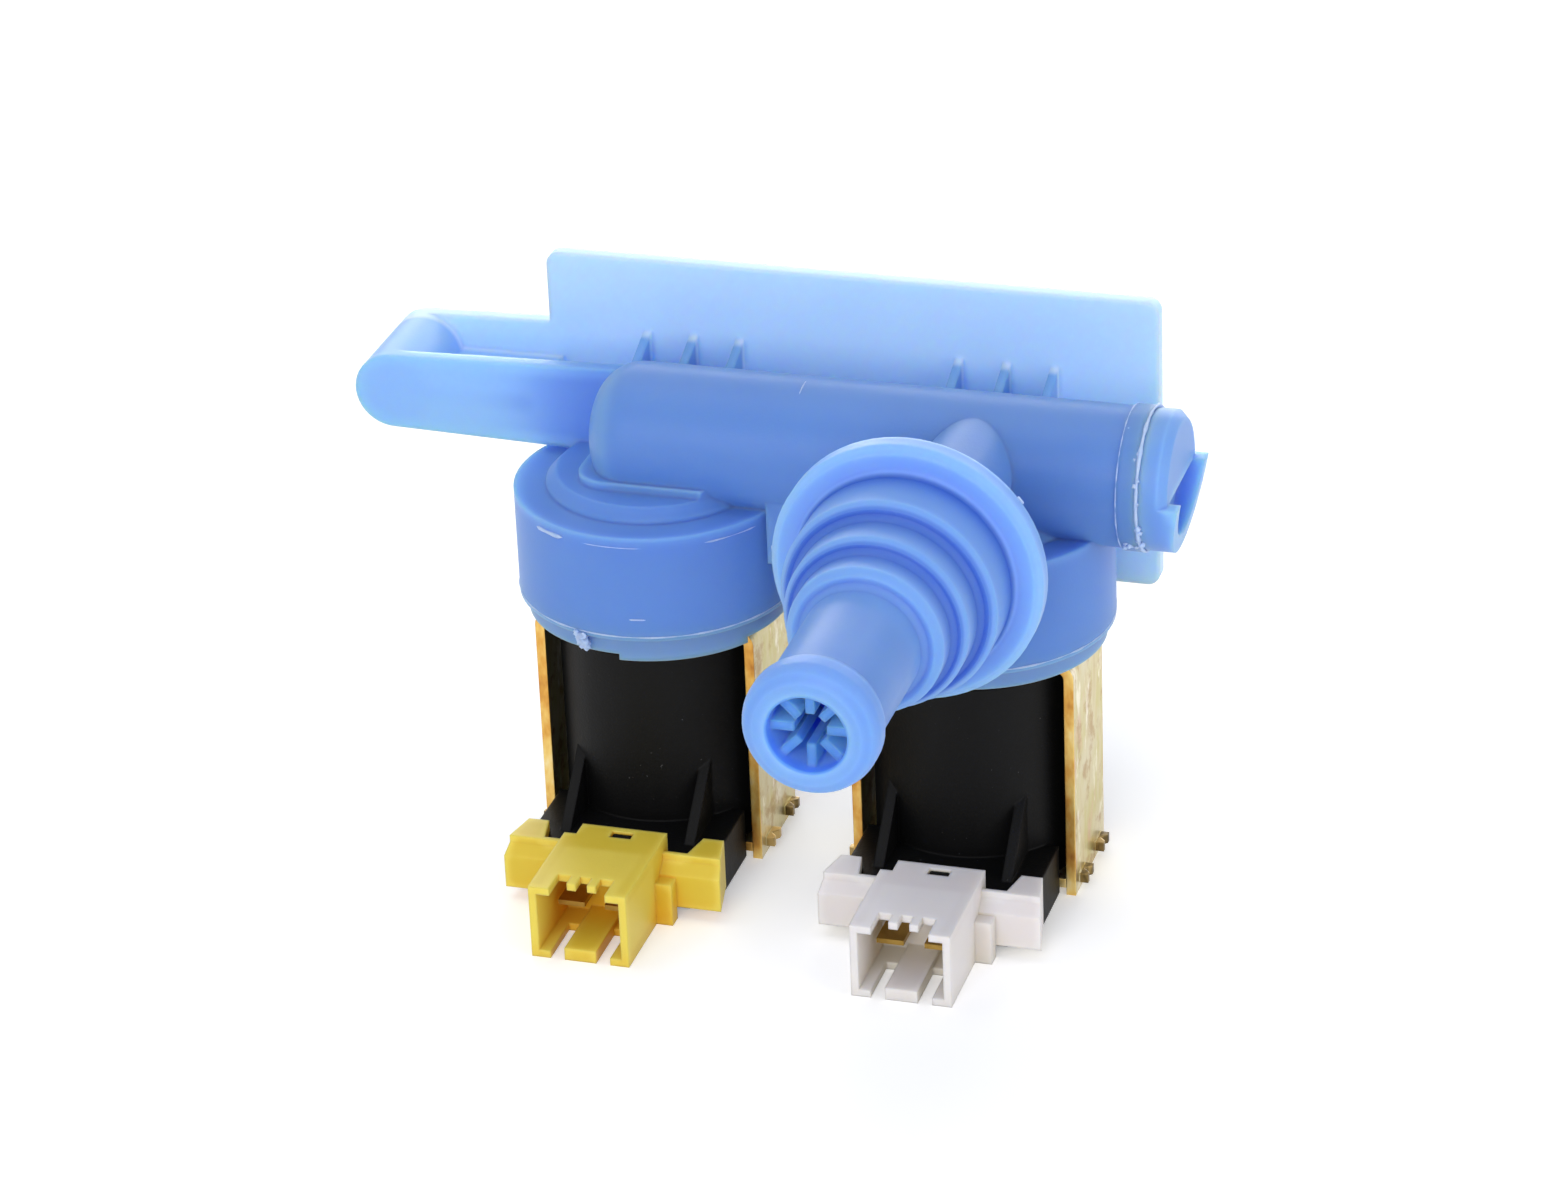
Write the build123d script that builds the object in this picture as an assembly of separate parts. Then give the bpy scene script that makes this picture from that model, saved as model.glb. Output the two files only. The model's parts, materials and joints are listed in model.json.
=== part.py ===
from build123d import *
import os

# Washing machine inlet valve: one blue moulding with two hose inlets at the back, a manifold,
# an outlet nozzle at the front and two solenoid coils underneath. All sizes are in millimetres.
# The origin is the centre of the mounting plate's rear face. +X is right as seen from the front,
# +Y points back through the cabinet wall and +Z is up.

# Layout
coil_spacing = 50.0
coil_standoff = 24.5
contact_gap = 0.05

# Mounting plate
plate_width = 97.2
plate_height = 47.2
plate_thickness = 2.5
plate_corner = 2.0

# Screw arm on the left of the plate
arm_reach = 20.6
arm_boss_radius = 6.0
arm_root_half_height = 7.0
arm_depth = 19.0
arm_wall = 2.2
arm_web = 2.0
arm_web_gap = 2.0
arm_screw_radius = 1.6
arm_screw_depth = 14.0

# Manifold tube that joins both chambers to the nozzle
manifold_z = 5.3
manifold_radius = 10.6
manifold_bore = 8.0
manifold_left = 33.5
manifold_right = 49.7
manifold_end_round = 7.0
manifold_end_wall = 3.0
collar_width = 2.95
collar_rise = 0.35

# End plug of the manifold
plug_length = 4.4
plug_round = 1.2
plug_spigot_length = 5.0
plug_scoop_length = 1.8
plug_scoop_wall = 2.6
plug_scoop_depth = 4.0

# Hose inlets
inlet_drop = 14.8
inlet_radius = 12.3
inlet_length = 20.0
inlet_wall = 2.5
inlet_seat_depth = 14.0
inlet_passage = 4.5
inlet_boss_radius = 8.0

# Gussets between the plate and the manifold
gusset_spread = 7.5
gusset_thickness = 1.3
gusset_height = 7.5

# Valve chambers
chamber_radius = 21.5
chamber_height = 17.0
chamber_sink = 7.8
chamber_roof = 2.5
chamber_bore = 15.0
pad_radius = 16.5
pad_height = 2.2
pad_round = 1.6
saddle_overlap = 1.4
saddle_height = 1.3
saddle_corner = 5.0
weir_radius = 6.6
weir_bore = 5.0
seat_height = 4.5
bridge_width = 9.0
bridge_depth = 18.0
bridge_height = 8.0

# Outlet nozzle, a turned form along -Y
nozzle_x = 27.1
nozzle_rise = 2.5
nozzle_bore = 5.7
nozzle_bore_depth = 20.0
neck_radius = 7.0
neck_bore = 4.0
flange_offset = 39.25
flange_radius = 20.0
flange_thickness = 4.5
step_1_radius = 15.8
step_1_length = 9.5
step_2_radius = 13.4
step_2_length = 6.5
step_3_radius = 11.3
step_3_length = 5.5
tube_radius = 8.6
tube_length = 20.5
lip_radius = 9.75
lip_length = 7.0
lip_land = 3.0
lip_round = 0.5
nozzle_round = 1.0
nozzle_root = 0.8
corner_share = 0.4
vane_count = 8
vane_thickness = 1.2
vane_height = 3.4
vane_length = 10.0
vane_setback = 2.0

# Bonnet with the guide tube for the armature
bonnet_radius = 20.2
bonnet_lip = 3.0
bonnet_recess_radius = 13.0
bonnet_floor = 1.3
skirt_drop = 1.0
skirt_thickness = 2.0
guide_bore = 5.0
guide_wall = 0.9
guide_length = 34.5

# Diaphragm and its insert
rim_radius = 17.3
rim_thickness = 1.5
rim_width = 3.3
hub_radius = 7.5
hub_thickness = 2.0
hub_hole = 2.6
insert_clearance = 0.15
insert_disc_radius = 6.5
insert_disc_thickness = 1.0
insert_head_radius = 3.6
insert_head_thickness = 1.4
pilot_radius = 1.8
pilot_height = 0.8
pilot_hole = 0.6

# Armature, its seal and spring
armature_clearance = 0.25
armature_length = 24.0
seal_radius = 2.2
seal_height = 2.4
seal_proud = 0.4
seal_gap = 0.2
spring_radius = 3.2
spring_wire = 0.8
spring_turns = 2.5

# Yoke, bent from steel strip, with a staked base
yoke_width = 35.1
yoke_depth = 17.9
yoke_height = 39.5
yoke_sheet = 1.5
yoke_bend = 2.6
base_lift = 1.2
tab_width = 3.6
tab_spread = 10.0
tab_proud = 1.4
tab_notch = 0.7

# Coil moulding with its terminal block
coil_side_gap = 0.25
coil_bore_clearance = 0.2
coil_skin = 2.4
winding_end_wall = 3.2
block_half_width = 15.0
block_height = 8.4
block_lift = 0.3
block_reach = 21.6
tongue_half_width = 11.4
tongue_shoulder = 1.0
tongue_reach = 26.6
rib_offset = 10.0
rib_thickness = 1.6
rib_top = 18.0
rib_reach = 21.5

# Connector shell
shroud_half_width = 7.7
shroud_height = 12.0
shroud_wall = 1.2
shroud_front = 45.0
shroud_back_wall = 2.5
wing_half_width = 17.3
wing_front = 29.3
wing_top = 10.0
wing_bottom = 2.0
wing_step = 1.9
wing_lip = 1.1
wing_slope = 1.5
ear_taper = 1.6
collar_block_width = 2.6
collar_block_reach = 2.4
collar_block_height = 7.0
comb_half_width = 4.4
comb_depth = 4.6
tooth_width = 1.4
tooth_spacing = 3.2
tooth_length = 2.4
window_width = 3.4
window_depth = 1.8
latch_clearance = 0.1
latch_sink = 0.7
window_setback = 2.4
slot_inner = 2.5
slot_width = 2.2
slot_length = 8.5
floor_rib_height = 0.8
shroud_cap_reach = 1.9
cap_inset = 1.9
cap_notch = 1.3
window_offset = 1.1

# Terminal blades
blade_width = 4.2
blade_thickness = 0.8
blade_pitch = 7.4
blade_height = 5.4
blade_setback = 7.5
blade_embed = 5.0

# Inlet screen and flow washer
insert_fit = 0.1
washer_thickness = 3.2
washer_hole = 2.5
screen_rim_height = 1.2
screen_wall = 0.6
screen_length = 7.5

# Levels and places worked out from the sizes above
coil_y = -coil_standoff
inlet_z = manifold_z - inlet_drop
chamber_top = manifold_z - chamber_sink
chamber_bottom = chamber_top - chamber_height
seat_z = chamber_bottom + seat_height
bonnet_bottom = chamber_bottom - bonnet_lip
foot_z = bonnet_bottom - yoke_height
yoke_inner_top = bonnet_bottom - yoke_sheet
base_bottom = foot_z + base_lift
base_top = base_bottom + yoke_sheet
guide_radius = guide_bore + guide_wall
guide_floor = bonnet_bottom - guide_length + guide_wall
plug_start = manifold_right + collar_width
nozzle_z = manifold_z + nozzle_rise
flange_back = coil_y - flange_offset
flange_front = flange_back - flange_thickness
step_1_end = flange_front - step_1_length
step_2_end = step_1_end - step_2_length
step_3_end = step_2_end - step_3_length
lip_start = step_3_end - tube_length
nozzle_tip = lip_start - lip_length
coil_radius = yoke_width / 2 - yoke_sheet - coil_side_gap
winding_radius = coil_radius - coil_skin
winding_bore = guide_radius + coil_bore_clearance
disc_top = seat_z - hub_thickness - insert_clearance
disc_bottom = disc_top - insert_disc_thickness
pilot_bottom = disc_bottom - pilot_height
seal_top = pilot_bottom - seal_gap
armature_top = seal_top - seal_proud
armature_bottom = armature_top - armature_length
inlet_seat_y = inlet_length - inlet_seat_depth
inlet_bore = inlet_radius - inlet_wall
boss_x = -plate_width / 2 - arm_reach

BOTTOM = (Align.CENTER, Align.CENTER, Align.MIN)


def post(radius, bottom, top, x=0.0, y=0.0):
    """Upright cylinder between two levels."""
    return Pos(x, y, bottom) * Cylinder(radius, top - bottom, align=BOTTOM)


def rod_x(radius, start, end, y, z):
    """Cylinder along X."""
    return Pos(start, y, z) * Rot(0, 90, 0) * Cylinder(radius, end - start, align=BOTTOM)


def rod_y(radius, start, end, x, z):
    """Cylinder along Y."""
    return Pos(x, start, z) * Rot(-90, 0, 0) * Cylinder(radius, end - start, align=BOTTOM)


def block(x_span, y_span, z_span):
    """Box between two limits on each axis."""
    sizes = [span[1] - span[0] for span in (x_span, y_span, z_span)]
    corner = (x_span[0], y_span[0], z_span[0])
    return Pos(*corner) * Box(*sizes, align=(Align.MIN, Align.MIN, Align.MIN))


def prism_x(points, start, end):
    """Outline of (y, z) points extruded along X."""
    outline = Plane.YZ * make_face(Polyline(*points, close=True))
    return Pos(start, 0, 0) * extrude(outline, end - start)


def prism_z(points, bottom, top):
    """Outline of (x, y) points extruded upwards."""
    return Pos(0, 0, bottom) * extrude(make_face(Polyline(*points, close=True)), top - bottom)


def turned_z(points, x, y):
    """Outline of (radius, z) points turned about an upright axis."""
    outline = Plane.XZ * make_face(Polyline(*points, close=True))
    return Pos(x, y, 0) * revolve(outline, Axis.Z)


def turned_y(points, x, z):
    """Outline of (radius, y) points turned about an axis along Y."""
    return Pos(x, 0, z) * revolve(make_face(Polyline(*points, close=True)), Axis.Y)


def bevelled(points, cuts):
    """Outline with each corner cut back along both of its sides, as far as short sides allow."""
    outline = []
    for index, cut in enumerate(cuts):
        corner = Vector(*points[index])
        if cut == 0:
            outline.append((corner.X, corner.Y))
            continue
        for neighbour in (points[index - 1], points[index + 1]):
            side = Vector(*neighbour) - corner
            spot = corner + side.normalized() * min(cut, side.length * corner_share)
            outline.append((spot.X, spot.Y))
    return outline


def mounting_plate():
    plate = block(
        (-plate_width / 2, plate_width / 2),
        (-plate_thickness, 0),
        (-plate_height / 2, plate_height / 2),
    )
    return fillet(plate.edges().filter_by(Axis.Y), plate_corner)


def arm_outline(root_x):
    """Arm seen from the front: a round boss that widens towards its root."""
    slope = (arm_root_half_height - arm_boss_radius) / (-manifold_left - boss_x)
    half = arm_boss_radius + slope * (root_x - boss_x)
    corners = [
        (boss_x, arm_boss_radius),
        (boss_x, -arm_boss_radius),
        (root_x, -half),
        (root_x, half),
    ]
    return make_face(Polyline(*corners, close=True)) + Pos(boss_x, 0) * Circle(arm_boss_radius)


def screw_arm():
    """Two walls and a middle web that carry a screw boss, open above and below the web."""
    wall_start = -arm_depth
    to_front = Plane.XZ.offset(-wall_start)
    front_wall = extrude(to_front * arm_outline(-manifold_left + manifold_end_round), -arm_wall)
    rear_wall = extrude(Plane.XZ * arm_outline(-plate_width / 2 + plate_corner), plate_thickness)
    arm = Pos(0, 0, manifold_z) * (front_wall + rear_wall)
    arm += rod_y(arm_boss_radius, wall_start, 0, boss_x, manifold_z)
    arm += block(
        (boss_x, -plate_width / 2 + arm_web_gap),
        (wall_start, 0),
        (manifold_z - arm_web / 2, manifold_z + arm_web / 2),
    )
    return arm


def manifold_tube():
    tube = rod_x(manifold_radius, -manifold_left, plug_start, coil_y, manifold_z)
    tube = fillet(tube.edges().sort_by(Axis.X)[0], manifold_end_round)
    return tube + rod_x(manifold_radius + collar_rise, manifold_right, plug_start, coil_y, manifold_z)


def saddle(x, bottom):
    """Low step on a pad that follows the manifold's foot."""
    left = -manifold_left - saddle_overlap
    foot = (manifold_radius**2 - (manifold_z - bottom) ** 2) ** 0.5 + saddle_overlap
    levels = (bottom, bottom + saddle_height)
    step = block((left, manifold_right), (coil_y - foot, coil_y + foot), levels)
    step = fillet(step.edges().filter_by(Axis.Z).group_by(Axis.X)[0], saddle_corner)
    return step & post(pad_radius - pad_round, bottom, bottom + saddle_height, x, coil_y)


def chamber(x):
    """Drum with a raised round pad and a saddle that carry the manifold."""
    pad_top = chamber_top + pad_height
    drum = post(chamber_radius, chamber_bottom, chamber_top, x, coil_y)
    pad = post(pad_radius, chamber_top, pad_top, x, coil_y)
    pad = chamfer(pad.edges().sort_by(Axis.Z)[-1], pad_round)
    boss = rod_y(inlet_boss_radius, coil_y, 0, x, inlet_z)
    return drum + pad + saddle(x, pad_top) + boss


def gussets(x):
    """Three thin ribs that brace the plate against a chamber and the manifold."""
    corner_z = manifold_z + gusset_height
    foot_y = coil_y + manifold_radius / 2
    outline = [(0, chamber_top), (0, corner_z), (foot_y, manifold_z), (foot_y, chamber_top)]
    ribs = Part()
    for side in (-1, 0, 1):
        left = x + side * gusset_spread - gusset_thickness / 2
        ribs += prism_x(outline, left, left + gusset_thickness)
    return ribs


def nozzle():
    """Neck, flange, three softened steps, hose tube and swollen lip, turned as one form."""
    slope = (lip_length - lip_land) / 2
    points = [
        (0, coil_y),
        (neck_radius, coil_y),
        (neck_radius, flange_back),
        (flange_radius, flange_back),
        (flange_radius, flange_front),
        (step_1_radius, flange_front),
        (step_1_radius, step_1_end),
        (step_2_radius, step_1_end),
        (step_2_radius, step_2_end),
        (step_3_radius, step_2_end),
        (step_3_radius, step_3_end),
        (tube_radius, step_3_end),
        (tube_radius, lip_start),
        (lip_radius, lip_start - slope),
        (lip_radius, lip_start - slope - lip_land),
        (tube_radius, nozzle_tip),
        (0, nozzle_tip),
    ]
    soft = nozzle_round
    root = nozzle_root
    lip = lip_round
    cuts = [0, 0, root, soft, soft, root, soft, root, soft, root, soft, root, 0, lip, lip, soft, 0]
    return turned_y(bevelled(points, cuts), nozzle_x, nozzle_z)


def vanes():
    """Radial flow vanes inside the nozzle's mouth."""
    start = nozzle_tip + vane_setback
    vane = block(
        (nozzle_bore - vane_height, nozzle_bore + contact_gap),
        (start, start + vane_length),
        (-vane_thickness / 2, vane_thickness / 2),
    )
    ring = Part()
    for index in range(vane_count):
        ring += Rot(0, 360 / vane_count * index, 0) * vane
    return Pos(nozzle_x, 0, nozzle_z) * ring


def chamber_cavity(x):
    """Space round the weir, the ledge for the diaphragm's rim and the two passages."""
    cavity = post(chamber_bore, chamber_bottom, chamber_top - chamber_roof, x, coil_y)
    cavity -= post(weir_radius, seat_z, chamber_top, x, coil_y)
    cavity += post(rim_radius + contact_gap, chamber_bottom, chamber_bottom + rim_thickness, x, coil_y)
    cavity += post(weir_bore, seat_z, manifold_z, x, coil_y)
    cavity += rod_y(inlet_bore, inlet_seat_y, inlet_length, x, inlet_z)
    cavity += rod_y(inlet_passage, coil_y + weir_radius + inlet_passage / 2, inlet_length, x, inlet_z)
    return cavity


def valve_body():
    body = mounting_plate() + screw_arm() + manifold_tube() + nozzle()
    body += block(
        (-bridge_width / 2, bridge_width / 2),
        (coil_y - bridge_depth / 2, coil_y + bridge_depth / 2),
        (chamber_top - bridge_height, manifold_z),
    )
    for x in coil_places:
        body += chamber(x) + gussets(x)
        body += rod_y(inlet_radius, 0, inlet_length, x, inlet_z)
    for x in coil_places:
        body -= chamber_cavity(x)
    body -= rod_x(manifold_bore, -manifold_left + manifold_end_wall, plug_start, coil_y, manifold_z)
    body -= rod_y(nozzle_bore, nozzle_tip, nozzle_tip + nozzle_bore_depth, nozzle_x, nozzle_z)
    body -= rod_y(neck_bore, nozzle_tip, coil_y, nozzle_x, nozzle_z)
    body -= rod_y(arm_screw_radius, -arm_screw_depth, 0, boss_x, manifold_z)
    return body + vanes()


def end_plug():
    """Welded plug with a hollow half-round scoop on its outer face, for the turning tool."""
    plug_end = plug_start + plug_length
    scoop_end = plug_end + plug_scoop_length
    plug = rod_x(manifold_radius, plug_start, plug_end, coil_y, manifold_z)
    plug = chamfer(plug.edges().sort_by(Axis.X)[-1], plug_round)
    scoop = rod_x(manifold_radius, plug_end - plug_round, scoop_end, coil_y, manifold_z)
    slant = Plane.XZ * make_face(
        Polyline(
            (plug_start, manifold_z),
            (scoop_end, manifold_z),
            (plug_end, manifold_z - manifold_radius),
            (plug_start, manifold_z - manifold_radius),
            close=True,
        )
    )
    scoop &= Pos(0, coil_y + manifold_radius, 0) * extrude(slant, 2 * manifold_radius)
    plug += scoop
    pocket_radius = manifold_radius - plug_scoop_wall
    pocket = rod_x(pocket_radius, scoop_end - plug_scoop_depth, scoop_end, coil_y, manifold_z)
    pocket &= block(
        (plug_start, scoop_end),
        (coil_y - manifold_radius, coil_y + manifold_radius),
        (manifold_z - manifold_radius, manifold_z),
    )
    plug -= pocket
    spigot_end = plug_start - plug_spigot_length
    spigot = rod_x(manifold_bore - contact_gap, spigot_end, plug_start, coil_y, manifold_z)
    return plug + spigot


def bonnet(x):
    """Cover welded under a chamber, with the closed guide tube and a locating skirt at the front."""
    tube_bottom = bonnet_bottom - guide_length
    recess_floor = bonnet_bottom + bonnet_floor
    points = [
        (0, guide_floor),
        (guide_bore, guide_floor),
        (guide_bore, recess_floor),
        (bonnet_recess_radius, recess_floor),
        (bonnet_recess_radius, chamber_bottom),
        (bonnet_radius, chamber_bottom),
        (bonnet_radius, bonnet_bottom),
        (guide_radius, bonnet_bottom),
        (guide_radius, tube_bottom),
        (0, tube_bottom),
    ]
    skirt = post(bonnet_radius, bonnet_bottom - skirt_drop, bonnet_bottom, x, coil_y)
    skirt -= post(bonnet_radius - skirt_thickness, bonnet_bottom - skirt_drop, bonnet_bottom, x, coil_y)
    inward = -1 if x > 0 else 1
    skirt &= block(
        sorted((x, x + inward * bonnet_radius)),
        (coil_y - bonnet_radius, coil_y - yoke_depth / 2 - yoke_sheet),
        (bonnet_bottom - skirt_drop, bonnet_bottom),
    )
    return turned_z(points, x, coil_y) + skirt


def diaphragm(x):
    """Rubber disc: a clamped rim, a sloping web and a thick hub under the weir."""
    inner_rim = rim_radius - rim_width
    hub_bottom = seat_z - hub_thickness
    points = [
        (rim_radius, chamber_bottom),
        (rim_radius, chamber_bottom + rim_thickness),
        (inner_rim, chamber_bottom + rim_thickness),
        (hub_radius, seat_z),
        (hub_hole, seat_z),
        (hub_hole, hub_bottom),
        (hub_radius, hub_bottom),
        (inner_rim, chamber_bottom),
    ]
    return turned_z(points, x, coil_y)


def diaphragm_insert(x):
    """Plastic core of the diaphragm, with the pilot hole that the armature closes."""
    stem_radius = hub_hole - insert_clearance
    head_bottom = seat_z + insert_clearance
    points = [
        (pilot_hole, pilot_bottom),
        (pilot_radius, pilot_bottom),
        (pilot_radius, disc_bottom),
        (insert_disc_radius, disc_bottom),
        (insert_disc_radius, disc_top),
        (stem_radius, disc_top),
        (stem_radius, head_bottom),
        (insert_head_radius, head_bottom),
        (insert_head_radius, head_bottom + insert_head_thickness),
        (pilot_hole, head_bottom + insert_head_thickness),
    ]
    return turned_z(points, x, coil_y)


def armature(x):
    slug = post(guide_bore - armature_clearance, armature_bottom, armature_top, x, coil_y)
    return slug - post(seal_radius, seal_top - seal_height, armature_top, x, coil_y)


def armature_seal(x):
    return post(seal_radius, seal_top - seal_height, seal_top, x, coil_y)


def armature_spring(x):
    """Coil spring between the closed end of the guide tube and the armature."""
    height = armature_bottom - guide_floor - spring_wire
    path = Helix(pitch=height / spring_turns, height=height, radius=spring_radius)
    section = Plane(path @ 0, z_dir=path % 0) * Rectangle(spring_wire, spring_wire)
    return Pos(x, coil_y, guide_floor + spring_wire / 2) * sweep(section, path, is_frenet=True)


def yoke_frame(x):
    """Steel strip bent into an upside-down U, slotted near its feet for the base."""
    half = yoke_width / 2
    depth = (coil_y - yoke_depth / 2, coil_y + yoke_depth / 2)
    outer = block((x - half, x + half), depth, (foot_z, bonnet_bottom))
    outer = fillet(outer.edges().filter_by(Axis.Y).group_by(Axis.Z)[-1], yoke_bend)
    inner_half = half - yoke_sheet
    inner = block((x - inner_half, x + inner_half), depth, (foot_z, yoke_inner_top))
    inner = fillet(inner.edges().filter_by(Axis.Y).group_by(Axis.Z)[-1], yoke_bend - yoke_sheet)
    frame = outer - inner
    frame -= post(guide_radius + contact_gap, yoke_inner_top, bonnet_bottom, x, coil_y)
    return frame - base_tabs(x, contact_gap, 0)


def base_tabs(x, grow, notch):
    """The four staked tabs of the yoke's base, or with growth the slots that they sit in."""
    reach = yoke_width / 2 + tab_proud
    tabs = Part()
    for place in (-tab_spread / 2, tab_spread / 2):
        half = tab_width / 2 + grow
        tabs += block(
            (x - reach, x + reach),
            (coil_y + place - half, coil_y + place + half),
            (base_bottom - grow, base_top + grow),
        )
        for side in (-1, 1):
            if notch:
                cutter = Rot(0, 0, 45) * Box(2 * notch, 2 * notch, 4 * yoke_sheet)
                tabs -= Pos(x + side * reach, coil_y + place, base_bottom) * cutter
    return tabs


def yoke_base(x):
    """Flat steel plate that closes the yoke, staked through its legs."""
    half = yoke_width / 2 - yoke_sheet - contact_gap
    plate = block(
        (x - half, x + half),
        (coil_y - yoke_depth / 2, coil_y + yoke_depth / 2),
        (base_bottom, base_top),
    )
    plate += base_tabs(x, 0, tab_notch)
    return plate - post(guide_radius, base_bottom, base_top, x, coil_y)


def coil_moulding(x):
    """Black encapsulated coil with a terminal block and two gusset ribs at its front foot."""
    top = yoke_inner_top - contact_gap
    bottom = base_top + contact_gap
    body = post(coil_radius, bottom, top, x, coil_y)
    body = chamfer(body.edges().sort_by(Axis.Z)[-1], yoke_bend - yoke_sheet)
    block_back = coil_y - yoke_depth / 2 - contact_gap
    shoulder_y = coil_y - block_reach
    tongue_y = coil_y - tongue_reach
    outline = [
        (x - block_half_width, block_back),
        (x + block_half_width, block_back),
        (x + block_half_width, shoulder_y),
        (x + tongue_half_width + tongue_shoulder, shoulder_y),
        (x + tongue_half_width, tongue_y),
        (x - tongue_half_width, tongue_y),
        (x - tongue_half_width - tongue_shoulder, shoulder_y),
        (x - block_half_width, shoulder_y),
    ]
    block_top = foot_z + block_height
    body += prism_z(outline, foot_z + block_lift, block_top)
    rib = [
        (coil_y, block_top),
        (coil_y - rib_reach, block_top),
        (coil_y - coil_radius / 2, foot_z + rib_top + coil_radius / 4),
        (coil_y, foot_z + rib_top + coil_radius / 4),
    ]
    for side in (-1, 1):
        left = x + side * rib_offset - rib_thickness / 2
        body += prism_x(rib, left, left + rib_thickness)
    body -= post(winding_bore, bottom, top, x, coil_y)
    body -= post(
        winding_radius + contact_gap,
        bottom + winding_end_wall,
        top - winding_end_wall,
        x,
        coil_y,
    )
    body += latch_window(x, -latch_clearance, block_top, foot_z + shroud_height - latch_sink)
    return body - terminal_blades(x, contact_gap)


def latch_window(x, grow, bottom, top):
    """Window in the socket's roof or, with negative growth, the coil's nib that snaps into it."""
    middle = coil_y - wing_front + window_setback
    half_width = window_width / 2 + grow
    half_depth = window_depth / 2 + grow
    return block(
        (x + window_offset - half_width, x + window_offset + half_width),
        (middle - half_depth, middle + half_depth),
        (bottom, top),
    )


def coil_winding(x):
    bottom = base_top + contact_gap + winding_end_wall + contact_gap
    top = yoke_inner_top - contact_gap - winding_end_wall - contact_gap
    ring = post(winding_radius, bottom, top, x, coil_y)
    return ring - post(winding_bore, bottom, top, x, coil_y)


def terminal_blades(x, grow=0.0):
    """Two flat brass blades, or with growth the slots that they pass through."""
    tip = coil_y - shroud_front + blade_setback
    tail = coil_y - tongue_reach + blade_embed
    low = foot_z + blade_height - blade_thickness / 2
    pair = Part()
    for side in (-1, 1):
        middle = x + side * blade_pitch / 2
        half = blade_width / 2 + grow
        pair += block(
            (middle - half, middle + half),
            (tip, tail + grow),
            (low - grow, low + blade_thickness + grow),
        )
    return pair


def connector_wings(x):
    """Cross piece behind the socket, with ears that clasp the terminal block."""
    back = coil_y - tongue_reach - contact_gap
    ear_back = coil_y - block_reach - contact_gap
    front = coil_y - wing_front
    ear = tongue_half_width + contact_gap
    outline = [
        (x - wing_half_width, front),
        (x + wing_half_width, front),
        (x + wing_half_width - ear_taper, ear_back),
        (x + ear + tongue_shoulder, ear_back),
        (x + ear, back),
        (x - ear, back),
        (x - ear - tongue_shoulder, ear_back),
        (x - wing_half_width + ear_taper, ear_back),
    ]
    top = foot_z + wing_top
    wings = prism_z(outline, foot_z + wing_bottom, top)
    step_y = front + wing_step
    step = [
        (front, top),
        (step_y, top),
        (step_y, top - wing_lip),
        (front, top - wing_lip - wing_slope),
    ]
    return wings - prism_x(step, x - wing_half_width, x + wing_half_width)


def connector_shell(x):
    """Plug socket: a box with a comb and a latch window on top and a ribbed, slotted floor."""
    mouth = coil_y - shroud_front
    wing_face = coil_y - wing_front
    back = coil_y - tongue_reach - contact_gap
    floor = foot_z
    top = floor + shroud_height
    half = shroud_half_width
    inside = half - shroud_wall
    cavity_back = wing_face - shroud_back_wall
    ceiling = top - shroud_wall
    shell = connector_wings(x)
    shell += block((x - half, x + half), (mouth, back), (floor, top))
    shell += block(
        (x - half - collar_block_width, x + half + collar_block_width),
        (wing_face - collar_block_reach, wing_face),
        (floor, floor + collar_block_height),
    )
    shell += block(
        (x - half + cap_inset, x + half),
        (back, back + shroud_cap_reach),
        (floor + block_height + contact_gap, top),
    )
    shell -= block((x - half, x - half + cap_inset), (back - cap_notch, back), (floor + wing_top, top))
    shell -= block((x - inside, x + inside), (mouth, cavity_back), (floor + shroud_wall, ceiling))
    shell -= block((x - comb_half_width, x + comb_half_width), (mouth, mouth + comb_depth), (ceiling, top))
    for side in (-1, 1):
        tooth = x + side * tooth_spacing / 2
        shell += block(
            (tooth - tooth_width / 2, tooth + tooth_width / 2),
            (mouth + comb_depth - tooth_length, mouth + comb_depth),
            (ceiling, top),
        )
        edges = sorted((x + side * slot_inner, x + side * (slot_inner + slot_width)))
        shell -= block(edges, (mouth, mouth + slot_length), (floor, floor + shroud_wall))
    shell -= latch_window(x, 0, floor + block_height - contact_gap, top)
    shell += block(
        (x - slot_inner, x + slot_inner),
        (mouth, cavity_back),
        (floor + shroud_wall, floor + shroud_wall + floor_rib_height),
    )
    return shell - terminal_blades(x, contact_gap)


def flow_washer(x):
    """Rubber washer at the bottom of an inlet, which evens the flow."""
    start = inlet_seat_y
    washer = rod_y(inlet_bore - insert_fit, start, start + washer_thickness, x, inlet_z)
    return washer - rod_y(washer_hole, start, start + washer_thickness, x, inlet_z)


def inlet_screen(x):
    """Thin strainer cup with a flat rim that rests on the flow washer."""
    rim = inlet_seat_y + washer_thickness
    rim_top = rim + screen_rim_height
    tip = rim_top + screen_length
    outer = inlet_bore - insert_fit
    root = outer - screen_rim_height
    points = [
        (outer, rim),
        (outer, rim_top),
        (root, rim_top),
        (root, tip),
        (0, tip),
        (0, tip - screen_wall),
        (root - screen_wall, tip - screen_wall),
        (root - screen_wall, rim),
    ]
    return turned_y(points, x, inlet_z)


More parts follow.
